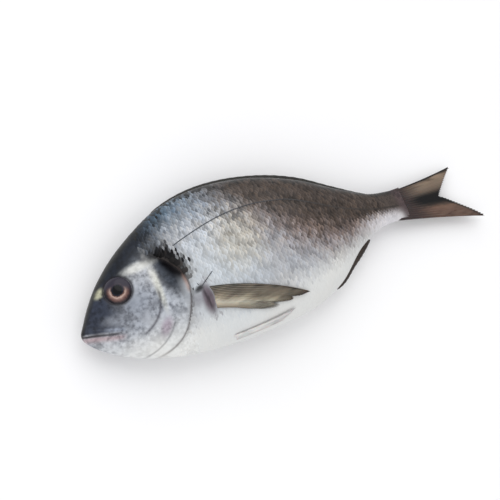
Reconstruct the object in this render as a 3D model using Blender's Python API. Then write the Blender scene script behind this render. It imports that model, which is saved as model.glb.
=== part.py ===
"""Whole raw gilt-head bream, uncut, lying on its right side with the left flank up.

The fish lies along X with its snout towards -X, its back towards +Y and its left flank towards +Z.
The origin is under the middle of the fish, on the surface that it lies on. Everything is one solid:
the body with its mouth, gill covers and eyes, and all its fins, folded as they lie on a dead fish.
"""

import math

import bmesh
import bpy
from mathutils import Vector

# Driving dimensions, in metres. Lengths written as a share are shares of BODY_LENGTH.
BODY_LENGTH = 0.245  # from the snout to the roots of the tail rays
REST_HEIGHT = 0.0188  # from the surface up to the fish's middle plane, its right flank pressed flat
TAIL_DROP = 0.0126  # how far the tip of the tail hangs below the middle plane
TAIL_DROP_SPAN = (0.55, 1.25)  # shares of the length where the sag begins and is complete
SNOUT_DROP = 0.0035  # how far the snout hangs below the middle plane
HEAD_DROP_END = 0.25  # share of the length where that sag has ended

# Cross-sections from snout to tail root: share of the length, top, bottom and half thickness.
SECTIONS = (
    (0.000, 0.010, 0.010, 0.000),
    (0.012, 0.034, -0.016, 0.016),
    (0.036, 0.069, -0.040, 0.028),
    (0.080, 0.120, -0.072, 0.041),
    (0.143, 0.172, -0.103, 0.054),
    (0.214, 0.214, -0.126, 0.066),
    (0.300, 0.252, -0.142, 0.076),
    (0.400, 0.268, -0.149, 0.083),
    (0.500, 0.262, -0.149, 0.084),
    (0.600, 0.238, -0.140, 0.077),
    (0.700, 0.197, -0.106, 0.062),
    (0.800, 0.139, -0.036, 0.044),
    (0.880, 0.099, -0.006, 0.031),
    (0.945, 0.087, -0.002, 0.018),
    (0.988, 0.086, -0.010, 0.004),
)
# Powers of the section's upper and lower half: a broad forehead, a keeled back and a round belly.
FOREHEAD_FULLNESS = 2.8
BACK_FULLNESS = 1.8
BELLY_FULLNESS = 2.4
FOREHEAD_END = 0.35  # share of the length where the keeled back begins
RINGS = 68
RING_POINTS = 40

# The head's relief, centres as shares of the length, depths in metres.
GILL_CENTRE = (0.160, 0.020)
GILL_RADIUS = 0.125
GILL_STEP = 0.0018  # how far the gill cover's free edge stands off the shoulder
GILL_RISE = 5  # power by which the cover rises towards its edge
GILL_FALL = 1.06  # where the step down has ended, as a share of the radius
GILL_SECTOR = (-1.9, 1.0)  # the free edge runs between these angles, in radians
GILL_FADE = 0.3  # radians over which the edge fades at either end
GILL_FLAT = (0.085, -0.42, 0.50)  # the edge is flatter below its rear point: by what share, where, how wide
CHEEK_CENTRE = (0.120, 0.042)
CHEEK_RADIUS = 0.088
CHEEK_GROOVE = 0.0010
CHEEK_REAR = (-0.2, 0.3)  # the groove grows between these shares of the cheek's radius behind its centre
MOUTH_START = (0.000, 0.008)
MOUTH_END = (0.093, -0.022)
MOUTH_GROOVE = 0.0011
GROOVE_WIDTH = 0.0016
EYE_CENTRE = (0.119, 0.082)
EYE_RADIUS = 0.0098
EYE_SEGMENTS, EYE_RINGS = 20, 12
EYE_DEPTH = 0.0042  # half the eyeball's depth as it shows in the socket
EYE_SET = 0.0026  # how far the eyeball's centre lies under the cheek
NORMAL_STEP = 0.004  # share of the length between the points that give the cheek's slope

FIN_THICKNESS = 0.0010
FIN_TIP_SHARE = 0.5  # the fins' thickness at the tips of their rays, as a share of FIN_THICKNESS
FIN_ROOT = 0.0025  # how deep a fin is rooted in the body

# The tail: a fan of rays from the peduncle, long at both edges and short at the fork.
TAIL_ROOT = (0.945, 0.040)
TAIL_ROOT_HALF = 0.043
TAIL_ANGLES = (0.05, -0.275)  # of the uppermost and the lowest ray, in radians
TAIL_UPPER_RAY = 0.236
TAIL_LOWER_RAY = 0.280
TAIL_FORK_RAY = 0.158
TAIL_LOBE_POWER = 1.20
TAIL_RAYS = 14

# Folded fins as a start and an end share along the body, and their height in metres.
DORSAL_FIN = (0.270, 0.880, 0.0036)
ANAL_FIN = (0.660, 0.830, 0.0046)
BLADE_STEPS = 26
BLADE_ENDS = 0.04  # how much of the blade's arch is cut off at either end
BLADE_FULLNESS = 0.6

# Paired fins: root from upper to lower end, longest and shortest ray, and the rays' bend.
PECTORAL_ROOT = ((0.322, 0.007), (0.328, -0.052))
PECTORAL_RAYS = (0.292, 0.115)
PECTORAL_TURN = (-0.24, -0.54)
PELVIC_ROOT = ((0.350, -0.128), (0.356, -0.142))
PELVIC_RAYS = (0.180, 0.135)
PELVIC_TURN = (-0.04, 0.08)
FIN_RAYS = 9
RAY_STEPS = 11

SKIN_COLOUR = (0.42, 0.44, 0.46, 1.0)
SKIN_ROUGHNESS = 0.3


def clear_scene():
    for item in list(bpy.data.objects):
        bpy.data.objects.remove(item, do_unlink=True)


def skin_material():
    material = bpy.data.materials.new("wet_silver_skin")
    material.use_nodes = True
    shader = material.node_tree.nodes["Principled BSDF"]
    shader.inputs["Base Color"].default_value = SKIN_COLOUR
    shader.inputs["Roughness"].default_value = SKIN_ROUGHNESS
    shader.inputs["Metallic"].default_value = 0.0
    return material


def smoothstep(low, high, value):
    share = min(1.0, max(0.0, (value - low) / (high - low)))
    return share * share * (3.0 - 2.0 * share)


def section(share):
    """Top, bottom and half thickness at a share of the length, on a smooth curve through SECTIONS.

    The curve runs over the square root of the share, which rounds the snout.
    """
    at = math.sqrt(share)
    places = [math.sqrt(row[0]) for row in SECTIONS]
    last = len(places) - 1
    index = min(max(i for i in range(len(places)) if places[i] <= at + 1e-9), last - 1)

    def slope(i, column):
        low, high = max(i - 1, 0), min(i + 1, last)
        return (SECTIONS[high][column] - SECTIONS[low][column]) / (places[high] - places[low])

    width = places[index + 1] - places[index]
    u = (at - places[index]) / width
    values = []
    for column in (1, 2, 3):
        start, end = SECTIONS[index][column], SECTIONS[index + 1][column]
        values.append(
            start * (1 + 2 * u) * (1 - u) ** 2
            + slope(index, column) * width * u * (1 - u) ** 2
            + end * u * u * (3 - 2 * u)
            + slope(index + 1, column) * width * u * u * (u - 1)
        )
    return values


def middle_drop(share):
    """How far the middle plane sags at a share of the length, in metres."""
    tail = TAIL_DROP * smoothstep(*TAIL_DROP_SPAN, share)
    head = SNOUT_DROP * (1.0 - smoothstep(0.0, HEAD_DROP_END, share))
    return tail + head


def distance_to_mouth(share, height):
    """Distance in metres from the line of the mouth."""
    run = MOUTH_END[0] - MOUTH_START[0]
    rise = MOUTH_END[1] - MOUTH_START[1]
    along = ((share - MOUTH_START[0]) * run + (height - MOUTH_START[1]) * rise) / (run * run + rise * rise)
    along = min(1.0, max(0.0, along))
    return BODY_LENGTH * math.hypot(
        share - MOUTH_START[0] - along * run, height - MOUTH_START[1] - along * rise
    )


def head_relief(share, height):
    """What the gill cover, the cheek and the mouth add to the half thickness, in metres."""
    across, up = share - GILL_CENTRE[0], height - GILL_CENTRE[1]
    angle = math.atan2(up, across)
    sector = smoothstep(GILL_SECTOR[0] - GILL_FADE, GILL_SECTOR[0] + GILL_FADE, angle)
    sector *= 1.0 - smoothstep(GILL_SECTOR[1] - GILL_FADE, GILL_SECTOR[1] + GILL_FADE, angle)
    flat, flat_at, flat_width = GILL_FLAT
    edge = GILL_RADIUS * (1.0 - flat * math.exp(-(((angle - flat_at) / flat_width) ** 2)))
    reach = math.hypot(across, up) / edge
    plate = reach**GILL_RISE if reach < 1.0 else 1.0 - smoothstep(1.0, GILL_FALL, reach)
    relief = GILL_STEP * plate * sector

    across, up = share - CHEEK_CENTRE[0], height - CHEEK_CENTRE[1]
    off = BODY_LENGTH * (math.hypot(across, up) - CHEEK_RADIUS)
    rear = smoothstep(*CHEEK_REAR, across / CHEEK_RADIUS)
    relief -= CHEEK_GROOVE * rear * math.exp(-((off / GROOVE_WIDTH) ** 2))

    off = distance_to_mouth(share, height)
    relief -= MOUTH_GROOVE * math.exp(-((off / GROOVE_WIDTH) ** 2))
    return relief


def half_thickness(share, height):
    """Half the body's thickness in metres at a height given as a share of the length."""
    top, bottom, half = section(share)
    middle, reach = (top + bottom) / 2, (top - bottom) / 2
    if reach <= 0.0:
        return 0.0
    level = min(1.0, max(-1.0, (height - middle) / reach))
    back = FOREHEAD_FULLNESS + (BACK_FULLNESS - FOREHEAD_FULLNESS) * smoothstep(0.0, FOREHEAD_END, share)
    power = back if level > 0 else BELLY_FULLNESS
    round_part = math.sqrt(max(0.0, 1.0 - abs(level) ** power))
    return max(0.0, half * BODY_LENGTH * round_part + head_relief(share, height) * round_part)


def place(share, height, side):
    """A point of the fish: side is metres from the middle plane, positive on the left flank."""
    z = REST_HEIGHT - middle_drop(share) + side
    return (share * BODY_LENGTH, height * BODY_LENGTH, max(0.0, z))


def flank_normal(share, height, flank):
    """The direction that faces straight out of the flank."""
    run = 2 * NORMAL_STEP * BODY_LENGTH
    along = half_thickness(share + NORMAL_STEP, height) - half_thickness(share - NORMAL_STEP, height)
    upward = half_thickness(share, height + NORMAL_STEP) - half_thickness(share, height - NORMAL_STEP)
    return Vector((-along / run, -upward / run, flank)).normalized()


def new_object(name, bm):
    bmesh.ops.recalc_face_normals(bm, faces=bm.faces)
    mesh = bpy.data.meshes.new(name)
    bm.to_mesh(mesh)
    bm.free()
    item = bpy.data.objects.new(name, mesh)
    bpy.context.collection.objects.link(item)
    return item


def close_rings(bm, rings):
    """Faces between neighbouring closed rings of vertices."""
    for first, second in zip(rings, rings[1:]):
        count = len(first)
        for i in range(count):
            j = (i + 1) % count
            bm.faces.new((first[i], first[j], second[j], second[i]))


def build_body():
    """The body as closed rings from the snout to the tail root."""
    bm = bmesh.new()
    rings = []
    end = math.sqrt(SECTIONS[-1][0])
    for ring in range(1, RINGS + 1):
        share = (end * ring / RINGS) ** 2
        top, bottom, _ = section(share)
        vertices = []
        for point in range(RING_POINTS):
            turn = 2 * math.pi * point / RING_POINTS
            height = (top + bottom) / 2 + (top - bottom) / 2 * math.sin(turn)
            side = math.copysign(half_thickness(share, height), math.cos(turn))
            vertices.append(bm.verts.new(place(share, height, side)))
        rings.append(vertices)
    close_rings(bm, rings)
    snout = bm.verts.new(place(0.0, SECTIONS[0][1], 0.0))
    for i in range(RING_POINTS):
        bm.faces.new((snout, rings[0][(i + 1) % RING_POINTS], rings[0][i]))
    bm.faces.new(rings[-1])
    bmesh.ops.triangulate(bm, faces=bm.faces)
    return new_object("fish", bm)


def slab_from_grid(name, lower, upper):
    """A closed slab between two grids of points with the same rows and columns."""
    bm = bmesh.new()
    low = [[bm.verts.new(p) for p in row] for row in lower]
    high = [[bm.verts.new(p) for p in row] for row in upper]
    rows, columns = len(low), len(low[0])
    for r in range(rows - 1):
        for c in range(columns - 1):
            bm.faces.new((low[r][c], low[r + 1][c], low[r + 1][c + 1], low[r][c + 1]))
            bm.faces.new((high[r][c], high[r][c + 1], high[r + 1][c + 1], high[r + 1][c]))
    rim = [(r, 0) for r in range(rows)] + [(rows - 1, c) for c in range(1, columns)]
    rim += [(r, columns - 1) for r in range(rows - 2, -1, -1)]
    rim += [(0, c) for c in range(columns - 2, 0, -1)]
    for (r, c), (s, d) in zip(rim, rim[1:] + rim[:1]):
        bm.faces.new((low[r][c], low[s][d], high[s][d], high[r][c]))
    bmesh.ops.triangulate(bm, faces=bm.faces)
    return new_object(name, bm)


def fan_ray(root, length, turn):
    """Points along a ray that bends evenly from the first to the second angle of turn."""
    across, up = root
    points = [(across, up)]
    for step in range(1, RAY_STEPS + 1):
        angle = turn[0] + (turn[1] - turn[0]) * (step - 0.5) / RAY_STEPS
        across += length / RAY_STEPS * math.cos(angle)
        up += length / RAY_STEPS * math.sin(angle)
        points.append((across, up))
    return points


def fin_thickness(step):
    return FIN_THICKNESS * (1.0 + (FIN_TIP_SHARE - 1.0) * step / RAY_STEPS)


def build_paired_fin(name, root, rays, turn, flank):
    """A fin pressed against the body on the flank, +1 for the left and -1 for the right."""
    lower, upper = [], []
    for ray in range(FIN_RAYS):
        t = ray / (FIN_RAYS - 1)
        start = tuple(a + (b - a) * t for a, b in zip(*root))
        length = rays[0] + (rays[1] - rays[0]) * t
        low_row, high_row = [], []
        for k, (share, height) in enumerate(fan_ray(start, length, turn)):
            skin = half_thickness(share, height)
            low_row.append(place(share, height, flank * max(skin - FIN_ROOT, 0.0)))
            high_row.append(place(share, height, flank * (skin + fin_thickness(k))))
        lower.append(low_row)
        upper.append(high_row)
    return slab_from_grid(name, lower, upper)


def build_folded_fin(name, span, is_dorsal):
    """A low blade along the back or the belly, with its rays folded down."""
    start, end, height = span
    lower, upper = [], []
    for step in range(BLADE_STEPS + 1):
        t = step / BLADE_STEPS
        share = start + (end - start) * t
        top, bottom, _ = section(share)
        edge, outward = (top, 1.0) if is_dorsal else (bottom, -1.0)
        arch = math.sin(math.pi * (BLADE_ENDS + (1.0 - 2.0 * BLADE_ENDS) * t))
        crest = height / BODY_LENGTH * arch**BLADE_FULLNESS
        levels = (edge - outward * FIN_ROOT / BODY_LENGTH, edge + outward * crest)
        lower.append([place(share, level, -FIN_THICKNESS) for level in levels])
        upper.append([place(share, level, FIN_THICKNESS) for level in levels])
    return slab_from_grid(name, lower, upper)


def build_tail():
    """The forked tail fin as a fan of rays from the peduncle."""
    lower, upper = [], []
    for ray in range(TAIL_RAYS + 1):
        t = 1.0 - 2.0 * ray / TAIL_RAYS
        root = (TAIL_ROOT[0], TAIL_ROOT[1] + TAIL_ROOT_HALF * t)
        outer = TAIL_UPPER_RAY if t > 0 else TAIL_LOWER_RAY
        length = TAIL_FORK_RAY + (outer - TAIL_FORK_RAY) * abs(t) ** TAIL_LOBE_POWER
        angle = TAIL_ANGLES[1] + (TAIL_ANGLES[0] - TAIL_ANGLES[1]) * (t + 1) / 2
        low_row, high_row = [], []
        for k, (share, height) in enumerate(fan_ray(root, length, (angle, angle))):
            half = fin_thickness(k)
            low_row.append(place(share, height, -half))
            high_row.append(place(share, height, half))
        lower.append(low_row)
        upper.append(high_row)
    return slab_from_grid("tail_fin", lower, upper)


def build_eye(name, flank):
    """The visible front of the eyeball, a flattened ball set into the cheek."""
    share, height = EYE_CENTRE
    outward = flank_normal(share, height, flank)
    surface = Vector(place(share, height, flank * half_thickness(share, height)))
    bpy.ops.mesh.primitive_uv_sphere_add(segments=EYE_SEGMENTS, ring_count=EYE_RINGS, radius=1.0)
    eye = bpy.context.object
    eye.name = name
    turn = outward.to_track_quat("Z", "Y")
    for vertex in eye.data.vertices:
        x, y, z = vertex.co
        flat = Vector((x * EYE_RADIUS, y * EYE_RADIUS, z * EYE_DEPTH))
        vertex.co = surface - outward * EYE_SET + turn @ flat
    return eye


def join_solid(base, other):
    """Unites another closed shape with the base and removes it."""
    union = base.modifiers.new("union", "BOOLEAN")
    union.operation = "UNION"
    union.solver = "EXACT"
    union.object = other
    bpy.context.view_layer.objects.active = base
    bpy.ops.object.modifier_apply(modifier=union.name)
    bpy.data.objects.remove(other, do_unlink=True)


def centre_over_origin(item):
    """Moves the solid so that its box stands centred on the origin, on z = 0."""
    points = [vertex.co for vertex in item.data.vertices]
    middle = [(min(p[i] for p in points) + max(p[i] for p in points)) / 2 for i in (0, 1)]
    lowest = min(p[2] for p in points)
    for vertex in item.data.vertices:
        vertex.co = (vertex.co[0] - middle[0], vertex.co[1] - middle[1], vertex.co[2] - lowest)


def main():
    clear_scene()
    fish = build_body()
    for flank, side in ((1, "left"), (-1, "right")):
        join_solid(fish, build_eye("eye_" + side, flank))
        pectoral = build_paired_fin("pectoral_" + side, PECTORAL_ROOT, PECTORAL_RAYS, PECTORAL_TURN, flank)
        join_solid(fish, pectoral)
        pelvic = build_paired_fin("pelvic_" + side, PELVIC_ROOT, PELVIC_RAYS, PELVIC_TURN, flank)
        join_solid(fish, pelvic)
    join_solid(fish, build_folded_fin("dorsal_fin", DORSAL_FIN, True))
    join_solid(fish, build_folded_fin("anal_fin", ANAL_FIN, False))
    join_solid(fish, build_tail())
    centre_over_origin(fish)
    fish.data.materials.clear()
    fish.data.materials.append(skin_material())
    fish.data.shade_smooth()


main()
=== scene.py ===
# %% [markdown]
# # A whole raw sea bream
# A silver fish of portion size lies on its right side with its scales, fins and head on. This lesson
# wraps a grid round the fish's cross-sections for the skin, lays real overlapping scales over it, fans
# out the fins ray by ray, sets the eyes, and paints all of it with wet, procedural materials.

# %% Load the frame
import math

import bpy
import numpy as np
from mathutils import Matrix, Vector


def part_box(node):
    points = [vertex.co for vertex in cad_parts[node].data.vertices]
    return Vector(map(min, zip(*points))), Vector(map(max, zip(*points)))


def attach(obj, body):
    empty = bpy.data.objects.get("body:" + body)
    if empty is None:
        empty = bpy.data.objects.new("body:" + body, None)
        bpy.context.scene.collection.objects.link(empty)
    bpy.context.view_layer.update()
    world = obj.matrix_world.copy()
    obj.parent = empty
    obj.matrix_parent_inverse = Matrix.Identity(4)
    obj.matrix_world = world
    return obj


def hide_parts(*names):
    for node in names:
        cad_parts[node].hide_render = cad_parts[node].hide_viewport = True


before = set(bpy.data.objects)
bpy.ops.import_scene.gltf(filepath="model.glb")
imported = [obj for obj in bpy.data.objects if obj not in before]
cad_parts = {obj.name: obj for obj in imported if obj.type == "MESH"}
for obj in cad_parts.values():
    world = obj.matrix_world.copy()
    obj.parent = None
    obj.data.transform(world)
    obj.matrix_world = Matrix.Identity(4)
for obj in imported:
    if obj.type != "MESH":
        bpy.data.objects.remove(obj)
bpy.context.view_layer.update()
fish_low, fish_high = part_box("fish")
print("the fish measures", [round(1000 * (h - l), 1) for l, h in zip(fish_low, fish_high)], "mm")

# %% [markdown]
# ## The shape of the body
# A bream is a deep, flat oval: a steep forehead, a keeled back and a round belly. Its form is given by a
# few cross-sections along the length, and a smooth curve runs through them. The curve is drawn over the
# square root of the distance from the snout, which rounds the snout. All lengths here are shares of the
# body's length, from the snout to the roots of the tail rays.

# %% Cross-sections
BODY_LENGTH = 0.245
SECTIONS = np.array((
    # share of the length, top, bottom, half thickness
    (0.000, 0.010, 0.010, 0.000),
    (0.012, 0.034, -0.016, 0.016),
    (0.036, 0.069, -0.040, 0.028),
    (0.080, 0.120, -0.072, 0.041),
    (0.143, 0.172, -0.103, 0.054),
    (0.214, 0.214, -0.126, 0.066),
    (0.300, 0.252, -0.142, 0.076),
    (0.400, 0.268, -0.149, 0.083),
    (0.500, 0.262, -0.149, 0.084),
    (0.600, 0.238, -0.140, 0.077),
    (0.700, 0.197, -0.106, 0.062),
    (0.800, 0.139, -0.036, 0.044),
    (0.880, 0.099, -0.006, 0.031),
    (0.945, 0.087, -0.002, 0.018),
    (0.988, 0.086, -0.010, 0.004),
))
BODY_END = SECTIONS[-1, 0]
PLACES = np.sqrt(SECTIONS[:, 0])
REST_HEIGHT = 0.0188
TAIL_DROP, TAIL_DROP_SPAN = 0.0126, (0.55, 1.25)
SNOUT_DROP, HEAD_DROP_END = 0.0035, 0.25
FOREHEAD_FULLNESS, BACK_FULLNESS, BELLY_FULLNESS = 2.8, 1.8, 2.4
FOREHEAD_END = 0.35


def smoothstep(low, high, value):
    share = np.clip((value - low) / (high - low), 0.0, 1.0)
    return share * share * (3.0 - 2.0 * share)


def slopes_at_sections():
    slopes = np.empty((len(PLACES), 3))
    for i in range(len(PLACES)):
        low, high = max(i - 1, 0), min(i + 1, len(PLACES) - 1)
        slopes[i] = (SECTIONS[high, 1:] - SECTIONS[low, 1:]) / (PLACES[high] - PLACES[low])
    return slopes


SLOPES = slopes_at_sections()


def section(share):
    """Top, bottom and half thickness at shares of the length."""
    at = np.sqrt(np.clip(share, 0.0, BODY_END))
    i = np.clip(np.searchsorted(PLACES, at, side="right") - 1, 0, len(PLACES) - 2)
    width = PLACES[i + 1] - PLACES[i]
    u = (at - PLACES[i]) / width
    start, end, leaving, arriving = (
        np.moveaxis(rows, -1, 0) for rows in (SECTIONS[i, 1:], SECTIONS[i + 1, 1:], SLOPES[i], SLOPES[i + 1])
    )
    return (
        start * (1 + 2 * u) * (1 - u) ** 2
        + leaving * width * u * (1 - u) ** 2
        + end * u * u * (3 - 2 * u)
        + arriving * width * u * u * (u - 1)
    )


def half_thickness(share, height):
    """Half the body's thickness in metres at heights over the axis."""
    top, bottom, half = section(share)
    reach = np.maximum((top - bottom) / 2, 1e-6)
    level = np.clip((height - (top + bottom) / 2) / reach, -1.0, 1.0)
    back = FOREHEAD_FULLNESS + (BACK_FULLNESS - FOREHEAD_FULLNESS) * smoothstep(0.0, FOREHEAD_END, share)
    power = np.where(level > 0, back, BELLY_FULLNESS)
    return half * BODY_LENGTH * np.sqrt(np.maximum(0.0, 1.0 - np.abs(level) ** power))


def middle_drop(share):
    """How far the middle plane of the fish sags, in metres."""
    tail = TAIL_DROP * smoothstep(*TAIL_DROP_SPAN, share)
    return tail + SNOUT_DROP * (1.0 - smoothstep(0.0, HEAD_DROP_END, share))


# The axis lies above the lowest line of the belly, and the snout touches the box.
AXIS_START = np.array((fish_low[0], fish_low[1] - SECTIONS[:, 2].min() * BODY_LENGTH, 0.0))


def place(share, height, side):
    """World points: side is metres from the middle plane, positive on the upper, left flank."""
    z = REST_HEIGHT - middle_drop(share) + side
    x = AXIS_START[0] + share * BODY_LENGTH
    y = AXIS_START[1] + height * BODY_LENGTH
    return np.stack(np.broadcast_arrays(x, y, np.maximum(z, 0.0)), axis=-1)


def ring_height(share, turn):
    """Height over the axis at a turn round the section: 0 on the flank, a quarter turn on the back."""
    top, bottom, _ = section(share)
    return (top + bottom) / 2 + (top - bottom) / 2 * np.sin(turn)


print("depth", round(1000 * BODY_LENGTH * float(np.ptp(section(np.array([0.42]))[:2])), 1), "mm")

# %% [markdown]
# ## The camera and the light
# The camera looks down on the flank from over the head, rolled so that the fish climbs from the lower
# left to the upper right. A big soft lamp over the back, a weaker one from the front and a pale world
# give the even light of a food studio; all of them are white, so that no cast falls on the silver.

# %% Camera, lamps and floor
AIM = (0.495, 0.065)  # what the camera looks at, as shares of the length
VIEW_DIRECTION = Vector((-0.330, -0.126, 0.935)).normalized()
VIEW_DISTANCE = 0.696
VIEW_ROLL = math.radians(20.8)
LENS = 77.7


def aim_camera():
    camera = bpy.data.objects.new("camera", bpy.data.cameras.new("camera"))
    bpy.context.scene.collection.objects.link(camera)
    camera.data.lens = LENS
    camera.data.clip_start, camera.data.clip_end = 0.01, 20.0
    target = Vector(place(*np.array(AIM), 0.0))
    camera.location = target + VIEW_DIRECTION * VIEW_DISTANCE
    along = Vector((1, 0, 0))
    right = (along - VIEW_DIRECTION * along.dot(VIEW_DIRECTION)).normalized()
    up = VIEW_DIRECTION.cross(right)
    turned_right = right * math.cos(VIEW_ROLL) - up * math.sin(VIEW_ROLL)
    turned_up = right * math.sin(VIEW_ROLL) + up * math.cos(VIEW_ROLL)
    axes = (turned_right, turned_up, VIEW_DIRECTION)
    camera.rotation_mode = "QUATERNION"
    matrix = camera.matrix_world.to_3x3()
    for column, axis in enumerate(axes):
        for row in range(3):
            matrix[row][column] = axis[row]
    camera.rotation_quaternion = matrix.to_quaternion()
    bpy.context.scene.camera = camera
    return camera


def soft_lamp(name, place_at, size, power):
    lamp = bpy.data.objects.new(name, bpy.data.lights.new(name, "AREA"))
    bpy.context.scene.collection.objects.link(lamp)
    lamp.data.shape = "DISK"
    lamp.data.size = size
    lamp.data.energy = power
    lamp.data.color = (1, 1, 1)
    lamp.location = place_at
    lamp.rotation_mode = "QUATERNION"
    lamp.rotation_quaternion = (-Vector(place_at)).to_track_quat("-Z", "Y")


def light_the_set():
    soft_lamp("back_window", (0.10, 1.1, 1.3), 2.2, 15.0)
    soft_lamp("front_fill", (-0.9, -1.1, 1.1), 2.0, 9.0)
    world = bpy.data.worlds.new("studio")
    bpy.context.scene.world = world
    world.use_nodes = True
    world.node_tree.nodes["Background"].inputs["Color"].default_value = (1, 1, 1, 1)
    world.node_tree.nodes["Background"].inputs["Strength"].default_value = 0.70
    bpy.context.scene.view_settings.view_transform = "Standard"


camera = aim_camera()
light_the_set()
print("camera", VIEW_DISTANCE, "m from the flank, lens", LENS, "mm")

# %% [markdown]
# ## Colours and nodes
# Colours are written as screen hex values and turned to linear light in one place. One small function
# adds any shader node with its settings and what goes into it.

# %% Helpers for materials


def linear(hex_colour, alpha=1.0):
    """A screen colour such as #c0c0c0 as linear light."""
    parts = [int(hex_colour[i : i + 2], 16) / 255 for i in (1, 3, 5)]
    light = [c / 12.92 if c <= 0.04045 else ((c + 0.055) / 1.055) ** 2.4 for c in parts]
    return (*light, alpha)


def add(tree, kind, inputs=None, **settings):
    """Adds a shader node; inputs are values or other nodes' sockets, by name or number."""
    item = tree.nodes.new("ShaderNode" + kind)
    for name, value in settings.items():
        setattr(item, name, value)
    for name, value in (inputs or {}).items():
        if isinstance(value, bpy.types.NodeSocket):
            tree.links.new(value, item.inputs[name])
        else:
            item.inputs[name].default_value = value
    return item


def start_material(name):
    """A new material and its tree, emptied down to the shader."""
    material = bpy.data.materials.new(name)
    material.use_nodes = True
    return material, material.node_tree, material.node_tree.nodes["Principled BSDF"]


def blend(tree, share, first, second, kind="MIX"):
    """A colour between two others. Returns the socket."""
    mix = add(tree, "Mix", {0: share, 6: first, 7: second}, data_type="RGBA", blend_type=kind)
    return mix.outputs[2]


def reading(tree, attribute):
    """A mesh attribute as a number. Returns the socket."""
    return add(tree, "Attribute", attribute_name=attribute).outputs["Fac"]


def noise_at(tree, size_mm, detail=3.0, stretch=(1, 1, 1)):
    """Noise with lumps of a real size in millimetres. Returns the socket, 0 to 1."""
    place_in = add(tree, "TexCoord").outputs["Object"]
    turned = add(tree, "Mapping", {"Vector": place_in, "Scale": stretch})
    lumps = 1000.0 / size_mm
    noise = add(tree, "TexNoise", {"Vector": turned.outputs[0], "Scale": lumps, "Detail": detail})
    return noise.outputs["Fac"]


def reshape(tree, value, low, high, to_low=0.0, to_high=1.0):
    """A number stretched from one range to another and kept inside it. Returns the socket."""
    span = {"Value": value, 1: low, 2: high, 3: to_low, 4: to_high}
    return add(tree, "MapRange", span).outputs[0]


# %% [markdown]
# ## Wrapping a grid
# The skin and every fin are flat grids laid out like a cut pattern and wrapped round their form, as
# cloth goes round a dress form. The grid brings a clean UV map, its rows run along the fish, and the
# seam where its two edges meet is merged shut.

# %% The wrapping helper
MERGE_DISTANCE = 2e-6


def wrapped_grid(name, rows, columns, form):
    """A closed mesh from a grid: form(u, v) gives the points, u along and v once round."""
    bpy.ops.object.select_all(action="DESELECT")
    bpy.ops.mesh.primitive_grid_add(x_subdivisions=rows, y_subdivisions=columns, size=1.0)
    piece = bpy.context.object
    piece.name = piece.data.name = name
    mesh = piece.data
    mesh.uv_layers[0].name = "OFBake"
    flat = np.empty(len(mesh.vertices) * 3)
    mesh.vertices.foreach_get("co", flat)
    flat = flat.reshape(-1, 3)
    u, v = np.clip(flat[:, 0] + 0.5, 0, 1), np.clip(flat[:, 1] + 0.5, 0, 1)
    points, values = form(u, v)
    mesh.vertices.foreach_set("co", points.astype(np.float32).ravel())
    for attribute, numbers in values.items():
        layer = mesh.attributes.new(attribute, "FLOAT", "POINT")
        layer.data.foreach_set("value", np.broadcast_to(numbers, u.shape).astype(np.float32))
    bpy.ops.object.mode_set(mode="EDIT")
    bpy.ops.mesh.select_all(action="SELECT")
    bpy.ops.mesh.remove_doubles(threshold=MERGE_DISTANCE)
    bpy.ops.mesh.normals_make_consistent(inside=False)
    bpy.ops.object.mode_set(mode="OBJECT")
    bpy.ops.object.shade_smooth()
    return piece


def finish_piece(piece, material):
    piece.data.materials.clear()
    piece.data.materials.append(material)
    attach(piece, "root")
    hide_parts("fish")
    triangles = sum(len(polygon.vertices) - 2 for polygon in piece.data.polygons)
    print(piece.name, triangles, "triangles")


# %% [markdown]
# ## The head's relief
# What makes a head readable is its plates: the gill cover ends in a free edge that stands off the
# shoulder, the cheek plate ends in a groove, and the upper jaw slides under a lip above the mouth slit.
# Round plates are arcs about a centre, so each one is a small formula of the distance from its edge.

# %% Relief of the head, in metres
GILL_CENTRE, GILL_RADIUS, GILL_STEP = (0.160, 0.020), 0.125, 0.0018
GILL_SECTOR = (-1.9, 1.0)
CHEEK_CENTRE, CHEEK_RADIUS, CHEEK_GROOVE = (0.120, 0.042), 0.088, 0.0009
UNDER_CENTRE, UNDER_RADIUS = (0.128, 0.010), 0.106
MOUTH_START, MOUTH_END = (0.000, 0.008), (0.093, -0.022)
MOUTH_SLIT, LIP_RISE = 0.0010, 0.0006
EYE_CENTRE, EYE_RADIUS, SOCKET_DEPTH = (0.119, 0.082), 0.0087, 0.0012
NOSTRILS = ((0.072, 0.078, 0.0010), (0.083, 0.088, 0.0013))


def polar(share, height, centre):
    """Distance in metres and angle about a centre."""
    across, up = share - centre[0], height - centre[1]
    return BODY_LENGTH * np.hypot(across, up), np.arctan2(up, across)


def from_line(share, height, start, end):
    """Distance in metres from a straight line, its sign positive above, and the share along it."""
    run, rise = end[0] - start[0], end[1] - start[1]
    along = ((share - start[0]) * run + (height - start[1]) * rise) / (run * run + rise * rise)
    near = np.clip(along, 0.0, 1.0)
    across, up = share - start[0] - near * run, height - start[1] - near * rise
    return BODY_LENGTH * np.hypot(across, up) * np.sign(up * run - across * rise), along


def sector(angle, low, high, soft=0.25):
    return smoothstep(low - soft, low + soft, angle) * (1 - smoothstep(high - soft, high + soft, angle))


def bell(distance, width):
    return np.exp(-((distance / width) ** 2))


def gill_edge(angle):
    """The gill cover's edge as a distance from its centre: an arc, flatter below its rear point."""
    return GILL_RADIUS * BODY_LENGTH * (1 - 0.085 * bell(angle + 0.42, 0.50))


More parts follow.
